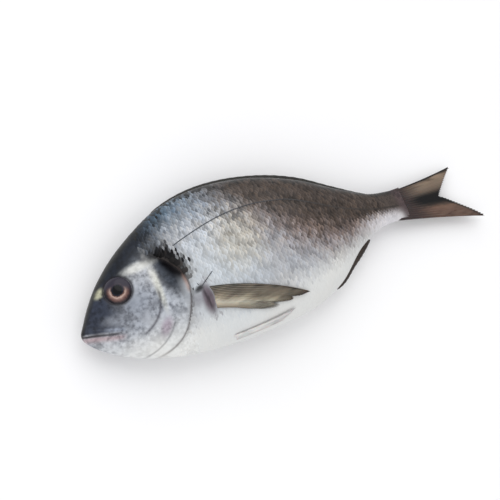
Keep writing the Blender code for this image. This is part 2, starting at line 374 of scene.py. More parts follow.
def head_relief(share, height):
    away, angle = polar(share, height, GILL_CENTRE)
    edge = gill_edge(angle)
    window = sector(angle, *GILL_SECTOR) * (1 - 0.65 * smoothstep(0.3, 1.3, -angle))
    plate = np.where(away < edge, (away / edge) ** 6, 1 - smoothstep(edge, edge + 0.0007, away))
    relief = GILL_STEP * plate * window
    relief -= 0.0007 * bell(away - edge - 0.0016, 0.0011) * window

    away, angle = polar(share, height, CHEEK_CENTRE)
    edge = CHEEK_RADIUS * BODY_LENGTH
    window = sector(angle, -1.35, 0.9)
    relief -= CHEEK_GROOVE * bell(away - edge, 0.0008) * window
    relief += 0.0005 * bell(away - edge + 0.0022, 0.0016) * window

    away, angle = polar(share, height, UNDER_CENTRE)
    relief -= 0.0006 * bell(away - UNDER_RADIUS * BODY_LENGTH, 0.0006) * sector(angle, -2.0, -0.35)

    off, along = from_line(share, height, MOUTH_START, MOUTH_END)
    reach = 1 - smoothstep(0.97, 1.08, along)
    relief -= MOUTH_SLIT * bell(off, 0.0006) * reach
    jaw = smoothstep(0.1, 0.4, along) * (1 - smoothstep(0.98, 1.1, along))
    relief += 0.0005 * bell(off - 0.0022, 0.0013) * jaw
    relief -= 0.0006 * bell(off - 0.0044, 0.0006) * jaw
    relief += LIP_RISE * bell(off + 0.0020, 0.0014) * reach

    away, _ = polar(share, height, EYE_CENTRE)
    relief -= SOCKET_DEPTH * (1 - smoothstep(EYE_RADIUS * 0.75, EYE_RADIUS * 1.02, away))
    relief += 0.00015 * bell(away - EYE_RADIUS * 1.20, 0.0014)
    for across, up, size in NOSTRILS:
        away, _ = polar(share, height, (across, up))
        relief -= 0.0011 * bell(away, size * 0.7)
        relief += 0.0003 * bell(away - size * 1.3, size * 0.5)

    away, _ = polar(share, height, (0.318, -0.020))
    relief += 0.0011 * bell(away, 0.0065)
    return relief


# %% [markdown]
# ## Painting the skin by place
# A fish's colour follows its body: dark over the back, silver on the flank, white below, a black nape, a
# black blotch where the gill cover meets the shoulder, and a pale bar at the eye. Each of these is a
# mask from 0 to 1, worked out from the place on the body and stored as an attribute of the mesh. The
# same masks paint the scales, so each scale takes the colour of the skin it grows from. A few masks are
# painted shade instead of colour: in the gap behind the gill cover, in the cheek grooves and the mouth
# slit, round the eye socket, in the nostrils and in the pit at the pectoral fin. A painted highlight
# lightens the snout.

# %% Masks


def up_the_flank(share, part):
    """The height at a part of the body's depth, counted from the belly."""
    top, bottom, _ = section(share)
    return bottom + (top - bottom) * part


def dark_edge(share):
    """Where the dark back ends: high on the shoulder, and a third of the way up at the tail."""
    return up_the_flank(share, 0.88 - 0.58 * smoothstep(0.32, 0.92, share))


def lateral_line(share):
    """The lateral line runs three quarters of the way up and comes down to the middle of the tail root."""
    part = 0.78 - 0.08 * (1 - smoothstep(0.20, 0.56, share)) - 0.34 * smoothstep(0.60, 0.97, share)
    return up_the_flank(share, part)


def oval(share, height, centre, radii, turn=0.0, soft=0.45):
    """1 inside a turned oval, falling softly to 0 outside it."""
    across, up = share - centre[0], height - centre[1]
    a = (across * math.cos(turn) + up * math.sin(turn)) / radii[0]
    b = (-across * math.sin(turn) + up * math.cos(turn)) / radii[1]
    return 1 - smoothstep(1 - soft, 1 + soft, np.hypot(a, b))


# Plain spots of colour: mask, centre, radii, turn and softness.
SPOTS = (
    ("shoulder", (0.370, 0.020), (0.100, 0.120), 0.20, 0.70),
    ("cream", (0.455, 0.105), (0.060, 0.075), -0.50, 0.70),
    ("upper_gill", (0.243, 0.078), (0.024, 0.066), 0.20, 0.55),
    ("flush", (0.196, -0.048), (0.022, 0.013), 0.90, 0.60),
    ("vent_white", (0.905, 0.002), (0.080, 0.022), -0.05, 0.80),
)


def masks(share, height):
    """Every mask of the skin at places on the body."""

    def spot(centre, radii, turn=0.0, soft=0.45):
        return oval(share, height, centre, radii, turn, soft)

    top, bottom, _ = section(share)
    found = {name: spot(*form) for name, *form in SPOTS}
    found["belly"] = 1 - smoothstep(-0.105, -0.015, height - 0.25 * np.maximum(share - 0.6, 0))
    edge, soft = dark_edge(share), 0.16 * (top - bottom)
    found["dark_back"] = smoothstep(edge - soft, edge + 0.9 * soft, height)
    found["rear"] = smoothstep(0.34, 0.60, share + 0.3 * height)
    found["haze"] = smoothstep(edge - 2.4 * soft, edge, height) * smoothstep(0.38, 0.62, share)
    found["crest"] = 1 - smoothstep(0.004, 0.022, top - height)
    nape = 1 - smoothstep(0.040, 0.105, top - height)
    found["nape"] = nape * smoothstep(0.01, 0.04, share) * (1 - smoothstep(0.20, 0.36, share))
    off, along = from_line(share, height, MOUTH_START, MOUTH_END)
    drawn_in = share + 0.5 * np.maximum(0.03 - height, 0)
    slate = smoothstep(0.0004, 0.0022, off) * (1 - smoothstep(0.070, 0.150, drawn_in))
    # A painted highlight lightens the snout's dark slate in a band above the mouth.
    sheen = 0.4 * spot((0.080, 0.017), (0.030, 0.011), -0.30, 0.8)
    found["snout"] = slate * (1 - smoothstep(0.095, 0.13, height)) * (1 - sheen)
    found["cheek_grey"] = np.maximum(
        spot((0.142, 0.024), (0.060, 0.046), 0.3, 0.8),
        0.3 * spot((0.245, -0.005), (0.030, 0.065), 0.2, 0.6),
    )
    found["pale_patch"] = np.maximum(
        spot((0.187, 0.118), (0.038, 0.011), 0.0, 0.6),
        0.85 * spot((0.210, 0.068), (0.008, 0.060), 0.02, 0.7),
    )
    found["gold"] = np.maximum(
        spot((0.076, 0.094), (0.015, 0.010), 0.5, 0.5),
        0.35 * spot((0.212, 0.040), (0.007, 0.045), -0.06, 0.6),
    )
    away, angle = polar(share, height, GILL_CENTRE)
    edge_away = away - gill_edge(angle)
    found["blotch"] = np.maximum(
        spot((0.265, 0.100), (0.027, 0.060), 0.35, 0.35),
        0.9 * spot((0.240, 0.134), (0.034, 0.022), 0.1, 0.8),
    )
    # Painted shade: a dark line in the gap behind the gill cover's edge.
    found["gill_gap_shade"] = bell(edge_away - 0.0008, 0.0006) * sector(angle, -1.55, 0.7, 0.3)
    found["gill_shadow"] = bell(edge_away - 0.0016, 0.0014) * sector(angle, -0.9, 1.0, 0.4)
    rear_point = spot((0.281, 0.034), (0.012, 0.022))
    found["gill_pink"] = bell(edge_away + 0.0004, 0.0012) * rear_point
    # Painted shade in the groove of the cheek plate and in the groove under it.
    away, angle = polar(share, height, CHEEK_CENTRE)
    found["cheek_groove_shade"] = bell(away - CHEEK_RADIUS * BODY_LENGTH, 0.0008) * sector(angle, -1.35, 0.1, 0.2)
    away, angle = polar(share, height, UNDER_CENTRE)
    under = bell(away - UNDER_RADIUS * BODY_LENGTH, 0.0005) * sector(angle, -1.6, -0.4, 0.2)
    found["cheek_groove_shade"] += 0.6 * under
    found["fin_root"] = np.maximum(
        spot((0.318, -0.022), (0.017, 0.040), 0.0, 0.5),
        0.5 * spot((0.298, -0.014), (0.022, 0.018), 0.0, 0.7),
    )
    reach = 1 - smoothstep(0.9, 1.15, along)
    found["lip"] = bell(off + 0.0020, 0.0018) * reach
    found["jaw_silver"] = bell(off - 0.0026, 0.0012) * sector(along, 0.58, 1.02, 0.12)
    # Painted shade in the mouth slit.
    found["mouth_slit_shade"] = bell(off - 0.0002, 0.0006) * (1 - smoothstep(0.85, 1.02, along))
    # Painted shade round the rim of the eye socket and in the nostril pits.
    away, _ = polar(share, height, EYE_CENTRE)
    found["socket_and_nostril_shade"] = bell(away - EYE_RADIUS * 1.00, 0.0009)
    for across, up, size in NOSTRILS:
        away, _ = polar(share, height, (across, up))
        found["socket_and_nostril_shade"] = np.maximum(found["socket_and_nostril_shade"], bell(away, size * 0.8))
    # Painted shade in the pit at the pectoral fin's root and in a thin line along the root.
    found["fin_pit_shade"] = np.maximum(
        spot((0.304, 0.009), (0.013, 0.007), 0.3, 0.5),
        0.7 * spot((0.315, -0.020), (0.003, 0.034), 0.15, 0.6),
    )
    found["tail_base"] = smoothstep(0.945, 0.976, share + 0.10 * (height - 0.02))
    high = smoothstep(edge - 2.8 * soft, edge + 0.2 * soft, height)
    calm = np.where(share < 0.30, 0.75 * (1 - smoothstep(-0.09, -0.01, height)), 0.85 * found["belly"])
    calm = np.maximum(np.maximum(calm, found["pale_patch"] * 0.7), found["vent_white"] * 0.7)
    bright = (0.34 + 0.66 * high) * (0.70 + 0.30 * smoothstep(0.30, 0.42, share))
    found["glitter"] = np.where(share < 0.26, 1.0, bright) * (1 - calm)
    return found


# The paint, from the undermost to the topmost layer: mask, screen colour, strength.
SKIN_SILVER = "#a6a9af"
SKIN_LAYERS = (
    ("belly", "#d9dad9", 1.0),
    ("shoulder", "#c3cad0", 0.75),
    ("cream", "#b2ada0", 0.7),
    ("haze", "#75645e", 0.9),
    ("dark_back", "#507089", 1.0),
    ("rear_back", "#443b36", 1.0),
    ("cheek_grey", "#7c818b", 0.85),
    ("upper_gill", "#2d333d", 0.97),
    ("nape", "#171c26", 1.0),
    ("snout", "#2c313e", 0.97),
    ("pale_patch", "#dbdcd9", 0.85),
    ("gold", "#cfcdae", 0.6),
    ("crest", "#1c1c1a", 0.9),
    ("blotch", "#09080b", 0.98),
    ("flush", "#7d6076", 0.55),
    ("fin_root", "#54454f", 0.92),
    ("vent_white", "#d9d7dc", 0.85),
    ("tail_base", "#4a3d3f", 0.9),
    ("lip", "#9c8588", 0.75),
    ("jaw_silver", "#8d93a1", 0.7),
    ("mouth_slit_shade", "#1a1418", 0.85),
    ("cheek_groove_shade", "#42414a", 0.8),
    ("gill_shadow", "#5a5654", 0.4),
    ("gill_gap_shade", "#4b4040", 0.7),
    ("gill_pink", "#9c7768", 0.6),
    ("socket_and_nostril_shade", "#15131a", 0.92),
    ("fin_pit_shade", "#100f12", 0.95),
)


def paint(share, height):
    """The masks as they are stored on a mesh, with those that depend on each other settled."""
    found = masks(share, height)
    rear = found.pop("rear")
    found["rear_back"] = found["dark_back"] * rear
    found["dark_back"] = found["dark_back"] * (1 - rear)
    return found


# %% [markdown]
# ## Wet skin
# Fresh fish skin is clear slime over pigment and mirror-like crystals. The eye gets from it a soft
# uneven gloss over a mottled colour, dark on the back where pigment lies over the silver. The mottle and
# each scale's own shade are partly painted glint, and each scale is darkened with painted shade in the
# pocket under its neighbour and lightened with a painted highlight at its free rim. A clear coat stands
# for the slime. The bump is faint, because grain would make the fish look dry.

# %% The skin's material
# A scale's own shade is partly painted glint; its covered front gets painted shade and its free rim a
# painted highlight.
SCALE_SHADES = (0.40, 1.60)  # how dark and how light a scale may be against the paint
POCKET_SHADE_RIM_HIGHLIGHT = (0.38, 1.10)  # the same for its covered front and its free rim


def wet_skin(name, on_scales):
    material, tree, shader = start_material(name)
    clouds = noise_at(tree, 14.0, 2.0)
    colour = linear(SKIN_SILVER)
    for mask, shade, strength in SKIN_LAYERS:
        broken = add(tree, "Math", {0: reading(tree, mask), 1: strength}, operation="MULTIPLY")
        colour = blend(tree, broken.outputs[0], colour, linear(shade))
    glitter = reading(tree, "glitter")
    if on_scales:
        # Each scale has its own shade, cool or warm, partly its own tone and partly painted glint. It lies
        # dark with painted shade in the pocket under its neighbour and pale with a painted highlight at its
        # rim.
        # The white belly hardly shows it.
        own = reshape(tree, reading(tree, "shade"), 0.1, 0.9, *SCALE_SHADES)
        pocket = reshape(tree, reading(tree, "along"), 0.45, 0.92, *POCKET_SHADE_RIM_HIGHLIGHT)
        tone = add(tree, "Math", {0: own, 1: pocket}, operation="MULTIPLY").outputs[0]
        grey = add(tree, "CombineColor", {0: tone, 1: tone, 2: tone}).outputs[0]
        tint = blend(tree, reading(tree, "tint"), (0.95, 0.99, 1.05, 1), (1.05, 1.0, 0.94, 1))
        toned = blend(tree, 1.0, colour, blend(tree, 1.0, grey, tint, "MULTIPLY"), "MULTIPLY")
    else:
        # The mottle is partly the skin's own uneven tone and partly painted crinkly highlight.
        fine_mottle, broad_mottle = noise_at(tree, 2.4, 4.0), noise_at(tree, 9.0, 4.0)
        dark = blend(tree, 1.0, colour, (0.50, 0.51, 0.54, 1), "MULTIPLY")
        light = blend(tree, 1.0, colour, (1.32, 1.34, 1.36, 1), "MULTIPLY")
        streaked = blend(tree, reshape(tree, fine_mottle, 0.34, 0.64), dark, light)
        lit = blend(tree, reshape(tree, broad_mottle, 0.50, 0.64, 0.0, 0.7), streaked, light)
        toned = blend(tree, reshape(tree, broad_mottle, 0.46, 0.34, 0.0, 0.6), lit, dark)
    colour = blend(tree, glitter, colour, toned)
    warm = blend(tree, reshape(tree, clouds, 0.4, 0.7, 0.0, 0.25), colour, linear("#cdc3b4"), "SOFT_LIGHT")
    tree.links.new(warm, shader.inputs["Base Color"])
    gloss = reshape(tree, clouds, 0.3, 0.7, 0.28, 0.46)
    tree.links.new(gloss, shader.inputs["Roughness"])
    shader.inputs["IOR"].default_value = 1.38
    # The black blotch is raw and dull, so it mirrors less than the slimy skin round it.
    for socket, on_skin, on_blotch in (("Specular IOR Level", 0.28, 0.04), ("Coat Weight", 0.10, 0.01)):
        level = reshape(tree, reading(tree, "blotch"), 0.1, 0.8, on_skin, on_blotch)
        tree.links.new(level, shader.inputs[socket])
    shader.inputs["Coat Roughness"].default_value = 0.18
    fine = noise_at(tree, 0.9, 2.0)
    bump = add(tree, "Bump", {"Height": fine, "Strength": 0.12, "Distance": 0.0002})
    tree.links.new(bump.outputs[0], shader.inputs["Normal"])
    return material


# %% [markdown]
# ## The skin
# One grid wrapped round the sections, dense enough on the head to hold the plates, lips and nostrils
# as real relief. It could be sculpted by hand instead, but the formulas give both flanks alike.

# %% Body skin
SKIN_ROWS, SKIN_COLUMNS = 300, 236


def body_form(u, v):
    share = BODY_END * u * u
    turn = 2 * math.pi * v - math.pi / 2
    height = ring_height(share, turn)
    flank = np.sign(np.cos(turn))
    smooth = half_thickness(share, height)
    _, _, half = section(share)
    rounding = smooth / np.maximum(half * BODY_LENGTH, 1e-9)
    side = flank * np.maximum(smooth + head_relief(share, height) * np.clip(rounding, 0, 1), 0.0)
    side = np.where(u >= 1.0 - 1e-9, 0.0, side)
    return place(share, height, side), paint(share, height)


skin = wrapped_grid("skin", SKIN_ROWS, SKIN_COLUMNS, body_form)
finish_piece(skin, wet_skin("wet_skin", False))

# %% [markdown]
# ## Scales
# A bream's scales overlap like roof tiles, each one taller than the part of it that shows, in rows
# that are set half a scale apart. Painted scales would lie dead flat, so each one is a small curved tile:
# its front is sunk in the skin, its rear edge is free, and it leans a little its own way, which is what
# makes a flank glitter. One tile is made and copied over a lattice measured along the skin.

# %% One scale
SCALE_LENGTH, SCALE_WIDTH = 0.0038, 0.0037
SCALE_SINK, SCALE_LIFT = 0.00018, 0.00015
SCALE_DOME = 0.00010  # how much lower a scale's sides lie than its middle
TILE_ROWS, TILE_COLUMNS = 5, 5


def scale_tile():
    """Points of one scale as shares along, across (-1 to 1) and from front to rear, and its faces."""
    points = []
    for row in range(TILE_ROWS):
        along = row / (TILE_ROWS - 1)
        for column in range(TILE_COLUMNS):
            across = 2 * column / (TILE_COLUMNS - 1) - 1
            rear = math.sqrt(max(0.0, 1 - (0.93 * across) ** 2))
            reach = along * (0.62 + 0.38 * rear)
            narrow = 1.0 - 0.12 * (1 - along) ** 2
            points.append((reach, across * narrow, along))
    faces = []
    for row in range(TILE_ROWS - 1):
        for column in range(TILE_COLUMNS - 1):
            a = row * TILE_COLUMNS + column
            faces.append((a, a + TILE_COLUMNS, a + TILE_COLUMNS + 1, a + 1))
    return np.array(points), np.array(faces)


TILE, TILE_FACES = scale_tile()
print("one scale has", 2 * len(TILE_FACES), "triangles")

# %% [markdown]
# ### Where the scales grow
# The lattice is measured along the skin and not on a flat drawing of it, so the rows keep their distance
# over the round of the flank. The head and the pit over the pectoral fin stay bare.

# %% The lattice of scales
COLUMN_STEP = 0.00126  # metres between columns of scales; every other column is half a row up
ROW_STEP = 0.0031
SCALES_SPAN = (0.125, 0.972)
ARC_POINTS = 400
GILL_MARGIN = 0.0028  # metres of bare skin behind the gill cover


def has_scales(share, height):
    """True on the shoulder and flank; the head, the pale bar and the pit over the fin stay bare."""
    gill_away, gill_angle = polar(share, height, GILL_CENTRE)
    behind = (gill_away > gill_edge(gill_angle) + GILL_MARGIN) & (np.abs(gill_angle) < 1.9) & (share > 0.20)
    bar = oval(share, height, (0.187, 0.118), (0.050, 0.022), 0.0, 0.1) > 0.5
    pit = oval(share, height, (0.312, -0.012), (0.016, 0.034), 0.0, 0.1) > 0.5
    return behind & ~bar & ~pit


def lattice():
    """Places of all scales on a flank: share of the length, turn round the section, metres per turn."""
    turns = np.linspace(-math.pi / 2 * 0.985, math.pi / 2 * 0.985, ARC_POINTS)
    found = []
    column, share = 0, SCALES_SPAN[0]
    while share < SCALES_SPAN[1]:
        height = ring_height(np.full_like(turns, share), turns)
        side = half_thickness(np.full_like(turns, share), height)
        steps = np.hypot(np.diff(height * BODY_LENGTH), np.diff(side))
        arc = np.concatenate(([0.0], np.cumsum(steps)))
        middle = np.interp(0.0, turns, arc)
        count = int(arc[-1] / ROW_STEP) + 2
        rows = middle + (np.arange(-count, count) + 0.5 * (column % 2)) * ROW_STEP
        rows = rows[(rows > 0.0) & (rows < arc[-1])]
        at = np.interp(rows, arc, turns)
        rate = np.interp(at, (turns[1:] + turns[:-1]) / 2, steps / np.diff(turns))
        found.append(np.stack((np.full_like(at, share), at, rate), axis=1))
        share += COLUMN_STEP / BODY_LENGTH
        column += 1
    return np.concatenate(found)


def flank_point(share, turn, flank):
    height = ring_height(share, turn)
    return place(share, height, flank * half_thickness(share, height)), height


def flank_normal(share, turn, flank):
    step = 0.003
    ahead, _ = flank_point(share + step, turn, flank)
    back, _ = flank_point(share - step, turn, flank)
    above, _ = flank_point(share, turn + step, flank)
    below, _ = flank_point(share, turn - step, flank)
    normal = np.cross(ahead - back, above - below) * flank
    return normal / np.maximum(np.linalg.norm(normal, axis=-1, keepdims=True), 1e-12)


# %% [markdown]
# ### Copying the scale
# All scales of a flank are one mesh, made in one go with arrays: a modifier could copy the tile too, but
# it couldn't bend each copy to the skin under it. Every scale gets a cell of its own in the UV map and
# carries the colour of the place it grows from.

# %% Scale coats
SCALE_LEAN = 0.016  # radians, the spread of how each scale leans
SCALE_STRAY = 0.0008  # how far a scale strays along the fish, as a share of the length
COLOUR_STRAY = 0.020  # how far off a scale may take its colour, as a share of the body's depth
TURN_LIMIT = 1.53  # radians: the normal is read just short of the keel
WAVES, CLUMP_SIZE = 24, (0.006, 0.016)  # how many waves make the clumps, and their length in metres


def tiles_on_skin(name, flank, sites, sizes, lift, lean, values):
    """A mesh of scales at the sites; sizes are their lengths and widths in metres."""
    count = len(sites)
    along = (TILE[None, :, 0] - 0.5) * sizes[:, :1]
    up = TILE[None, :, 1] * sizes[:, 1:] / 2
    share = np.clip(sites[:, :1] + along / BODY_LENGTH, 0.01, BODY_END - 0.004)
    turn = np.clip(sites[:, 1:2] + up / np.maximum(sites[:, 2:3], 1e-4), -math.pi / 2, math.pi / 2)
    surface, _ = flank_point(share, turn, flank)
    normal = flank_normal(share, np.clip(turn, -TURN_LIMIT, TURN_LIMIT), flank)
    height = -SCALE_SINK + (SCALE_SINK + lift) * TILE[None, :, 2]
    height = height + lean[:, :1] * (along - sizes[:, :1] * 0.1) + lean[:, 1:] * up
    height -= SCALE_DOME * TILE[None, :, 1] ** 2
    points = surface + normal * height[..., None]
    points[..., 2] = np.maximum(points[..., 2], 0.0)
    order = TILE_FACES if flank > 0 else TILE_FACES[:, ::-1]
    faces = (order[None] + np.arange(count)[:, None, None] * len(TILE)).reshape(-1, 4)
    mesh = bpy.data.meshes.new(name)
    mesh.from_pydata(points.reshape(-1, 3).tolist(), [], faces.tolist())
    cells = math.ceil(math.sqrt(count))
    column, row = np.arange(count)[:, None] % cells, np.arange(count)[:, None] // cells
    across = (column + 0.15 + 0.7 * TILE[None, :, 0]) / cells
    upward = (row + 0.5 + 0.35 * TILE[None, :, 1]) / cells
    corners = np.stack((across, upward), axis=-1).reshape(-1, 2)[faces.ravel()]
    mesh.uv_layers.new(name="OFBake").data.foreach_set("uv", corners.astype(np.float32).ravel())
    for attribute, numbers in values.items():
        layer = mesh.attributes.new(attribute, "FLOAT", "POINT")
        layer.data.foreach_set("value", np.repeat(numbers, len(TILE)).astype(np.float32))
    layer = mesh.attributes.new("along", "FLOAT", "POINT")
    layer.data.foreach_set("value", np.tile(TILE[:, 2], count).astype(np.float32))
    mesh.shade_smooth()
    piece = bpy.data.objects.new(name, mesh)
    bpy.context.scene.collection.objects.link(piece)
    print(name, count, "scales")
    return piece


def clumps(share, height, draw):
    """A smooth random pattern from 0 to 1: light gathers on patches of scales and not on single ones."""
    total = np.zeros_like(share)
    for _ in range(WAVES):
        length, heading = draw.uniform(*CLUMP_SIZE), draw.uniform(0, math.pi)
        start = draw.uniform(0, 2 * math.pi)
        forward = share * math.cos(heading) + height * math.sin(heading)
        total += np.cos(2 * math.pi * BODY_LENGTH * forward / length + start)
    return np.clip(0.5 + total / (2.2 * math.sqrt(WAVES)), 0, 1)


def scale_coat(name, flank, seed):
    draw = np.random.default_rng(seed)
    sites = lattice()
    sites = sites[has_scales(sites[:, 0], ring_height(sites[:, 0], sites[:, 1]))]
    share, height = sites[:, 0], ring_height(sites[:, 0], sites[:, 1])
    count = len(sites)
    sites[:, 0] += draw.normal(0.0, SCALE_STRAY, count)
    taper = 1 - 0.40 * smoothstep(0.84, 0.97, share) - 0.12 * (1 - smoothstep(0.22, 0.34, share))
    grown = draw.normal(1.0, 0.05, count) * taper
    sizes = np.stack((SCALE_LENGTH * grown, SCALE_WIDTH * grown), axis=1)
    top, bottom, _ = section(share)
    gill_away, gill_angle = polar(share, height, GILL_CENTRE)
    loose = (top - bottom) * smoothstep(-0.002, 0.009, gill_away - gill_edge(gill_angle))
    spots = draw.normal(0.0, COLOUR_STRAY, (count, 2)) * loose[:, None]
    values = paint(share + spots[:, 0], height + spots[:, 1])
    values["gill_gap_shade"] = values["gill_pink"] = np.zeros(count)
    # A scale's shade is partly its own tone and partly painted glint, gathered in clumps.
    values["shade"] = 0.62 * draw.random(count) + 0.38 * clumps(share, height, draw)
    values["tint"] = draw.random(count)
    calm = (1 - 0.65 * values["belly"]) * (1 - 0.8 * smoothstep(0.86, 0.96, share))
    lean = draw.normal(0.0, SCALE_LEAN, (count, 2)) * calm[:, None]
    return tiles_on_skin(name, flank, sites, sizes, SCALE_LIFT * calm[:, None], lean, values)


scale_finish = wet_skin("silver_scales", True)
for coat_name, flank_side, coat_seed in (("scales_left", 1, 11), ("scales_right", -1, 12)):
    finish_piece(scale_coat(coat_name, flank_side, coat_seed), scale_finish)

# %% [markdown]
# ## The lateral line
# The line of pores along the flank is a row of small scales of its own. They are darker and narrower
# than the others and lie over them, so the line reads as a fine dark thread that follows the back.

# %% Lateral line
LINE_SPAN = (0.288, 0.955)
LINE_STEP = 0.0013  # metres between the line's scales
LINE_SCALE = (0.0030, 0.0006)  # length and width of one
LINE_LIFT = 0.00046


def line_material():
    # One material for the lateral line's own dark scales and for the painted shade along the crease.
    material, tree, shader = start_material("line_and_crease_shade_scales")
    rear = reshape(tree, reading(tree, "place"), 0.40, 0.75)
    colour = blend(tree, rear, linear("#3d424a"), linear("#38322f"))
    own = reshape(tree, reading(tree, "shade"), 0.0, 1.0, 0.85, 1.2)
    grey = add(tree, "CombineColor", {0: own, 1: own, 2: own}).outputs[0]
    tree.links.new(blend(tree, 1.0, colour, grey, "MULTIPLY"), shader.inputs["Base Color"])
    tree.links.new(reshape(tree, noise_at(tree, 6.0), 0.3, 0.7, 0.3, 0.5), shader.inputs["Roughness"])
    shader.inputs["IOR"].default_value = 1.38
    return material


def line_scales(name, flank, seed, share, height, size):
    draw = np.random.default_rng(seed)
    count = len(share)
    top, bottom, _ = section(share)
    turn = np.arcsin((height - (top + bottom) / 2) / ((top - bottom) / 2))
    ahead, _ = flank_point(share, turn + 0.002, flank)
    back, _ = flank_point(share, turn - 0.002, flank)
    rate = np.linalg.norm(ahead - back, axis=-1) / 0.004
    sites = np.stack((share, turn, rate), axis=1)
    sizes = np.array(size) * draw.normal(1.0, 0.05, (count, 1))
    values = {"shade": draw.random(count), "place": share}
    return tiles_on_skin(name, flank, sites, sizes, LINE_LIFT, np.zeros((count, 2)), values)


line_and_crease_shade_finish = line_material()
line_shares = np.arange(*LINE_SPAN, LINE_STEP / BODY_LENGTH)
for line_name, flank_side, line_seed in (("lateral_line_left", 1, 21), ("lateral_line_right", -1, 22)):
    line = line_scales(
        line_name, flank_side, line_seed, line_shares, lateral_line(line_shares), LINE_SCALE
    )
    finish_piece(line, line_and_crease_shade_finish)

# %% [markdown]
# ### The crease over the fin
# A fine crease climbs from the pit above the pectoral fin; its dark thread is painted shade, a row of
# dark tiles laid in the same way as the lateral line, along a straight run.

# %% Crease over the pectoral fin
CREASE = ((0.311, 0.013), (0.350, 0.038))
CREASE_TILES, CREASE_TILE = 26, (0.0020, 0.00022)
crease_shares = np.linspace(CREASE[0][0], CREASE[1][0], CREASE_TILES)
crease_heights = np.linspace(CREASE[0][1], CREASE[1][1], CREASE_TILES)
for crease_name, flank_side, crease_seed in (("crease_left", 1, 31), ("crease_right", -1, 32)):
    crease = line_scales(
        crease_name, flank_side, crease_seed, crease_shares, crease_heights, CREASE_TILE
    )
    finish_piece(crease, line_and_crease_shade_finish)

# %% [markdown]
# ## Eyes
# A bream's eye is a clear dome in a dark rim: a round black pupil, a coppery ring round it, dusky at the
# top. The eyeball starts as a sphere, is squashed and turned to face out of the cheek, and is painted
# by its distance from the pupil. A thin, smooth clear coat stands for the wet cornea.

# %% Eyeballs
EYEBALL_RADIUS, EYEBALL_DEPTH, EYEBALL_SET = 0.0098, 0.0050, 0.0030


def eye_material():
    material, tree, shader = start_material("wet_eye")
    away = reading(tree, "from_pupil")
    streaks = noise_at(tree, 1.2, 3.0)
    shift = reshape(tree, streaks, 0.3, 0.7, -0.03, 0.03)
    moved = add(tree, "Math", {0: away, 1: shift}, operation="ADD").outputs[0]
    ramp = add(tree, "ValToRGB", {"Fac": moved})
    stops = ramp.color_ramp.elements
    stops[0].position, stops[0].color = 0.0, linear("#08090c")
    stops[1].position, stops[1].color = 1.0, linear("#19161a")
    for position, shade in (
        (0.28, "#0a0b0f"), (0.33, "#151926"), (0.38, "#1e1b22"), (0.43, "#6d524a"), (0.49, "#b8a096"),
        (0.56, "#8c7068"), (0.66, "#614844"), (0.74, "#3a2b2d"), (0.80, "#1d1a20"),
    ):
        stop = stops.new(position)
        stop.color = linear(shade)
    dusk = blend(tree, reading(tree, "upper"), ramp.outputs[0], linear("#33303b"))
    tree.links.new(dusk, shader.inputs["Base Color"])
    shader.inputs["Roughness"].default_value = 0.18
    shader.inputs["IOR"].default_value = 1.34
    shader.inputs["Specular IOR Level"].default_value = 0.25
    shader.inputs["Coat Weight"].default_value = 0.12
    shader.inputs["Coat Roughness"].default_value = 0.05
    return material


def eyeball(name, flank):
    share, height = np.array(EYE_CENTRE)
    middle, top = ring_height(share, 0.0), ring_height(share, math.pi / 2)
    turn = math.asin(float((height - middle) / (top - middle)))
    surface, _ = flank_point(share, turn, flank)
    outward = Vector(flank_normal(share, turn, flank))
    bpy.ops.object.select_all(action="DESELECT")
    bpy.ops.mesh.primitive_uv_sphere_add(segments=64, ring_count=40, radius=1.0)
    eye = bpy.context.object
    eye.name = eye.data.name = name
    away, upper = [], []
    turned = outward.to_track_quat("Z", "Y")
    for vertex in eye.data.vertices:
        x, y, z = vertex.co
        ring = math.hypot(x, y)
        bulge = 0.00035 * math.exp(-((ring / 0.40) ** 4)) if z > 0 else 0.0
        flat = Vector((x * EYEBALL_RADIUS, y * EYEBALL_RADIUS, z * EYEBALL_DEPTH + bulge))
        away.append(ring)
        moved = turned @ flat
        vertex.co = Vector(surface) - outward * EYEBALL_SET + moved
        # The iris is darker towards its top.
        topward = float(smoothstep(-0.20, 0.34, (moved.y + 0.36 * moved.x) / EYEBALL_RADIUS))
        upper.append(topward * float(smoothstep(0.34, 0.40, ring)))
    for attribute, numbers in (("from_pupil", away), ("upper", upper)):
        layer = eye.data.attributes.new(attribute, "FLOAT", "POINT")
        layer.data.foreach_set("value", np.array(numbers, dtype=np.float32))
    bpy.ops.object.shade_smooth()
    return eye


eye_finish = eye_material()
for eye_name, flank_side in (("eye_left", 1), ("eye_right", -1)):
    finish_piece(eyeball(eye_name, flank_side), eye_finish)

# %% [markdown]
# ## Fins
# A fin is a thin skin over fine bony rays that fan from its root and split towards the edge. Each fin is
# a grid again: one direction runs along the rays, and the other goes over the upper face and back under
# the lower one. The rays are ridges in that skin, and the edge dips a little between them.

# %% Fin helpers
FIN_SHEET = 0.00022  # half the thickness of the skin between the rays
RAY_RIDGE = 0.00028
RAY_ROWS = 90  # rows of the grid along a ray
STEPS_PER_RAY = 8


def bent_ray(share, height, length, start_angle, end_angle, k):
    """Where a ray is at shares k of its length, bending evenly from one angle to the other."""
    bend = np.where(np.abs(end_angle - start_angle) < 1e-4, 1e-4, end_angle - start_angle)
    across = length * (np.sin(start_angle + bend * k) - np.sin(start_angle)) / bend
    up = length * (np.cos(start_angle) - np.cos(start_angle + bend * k)) / bend
    return share + across, height + up


def over_and_under(v):
    """The share across a fin and its face, +1 above and -1 below, for a turn v round it."""
    return np.where(v <= 0.5, 2 * v, 2 - 2 * v), np.where(v <= 0.5, 1.0, -1.0)


def columns_for(rays):
    """Columns of a grid that goes over all the rays and back under them."""
    return 2 * STEPS_PER_RAY * (rays - 1)


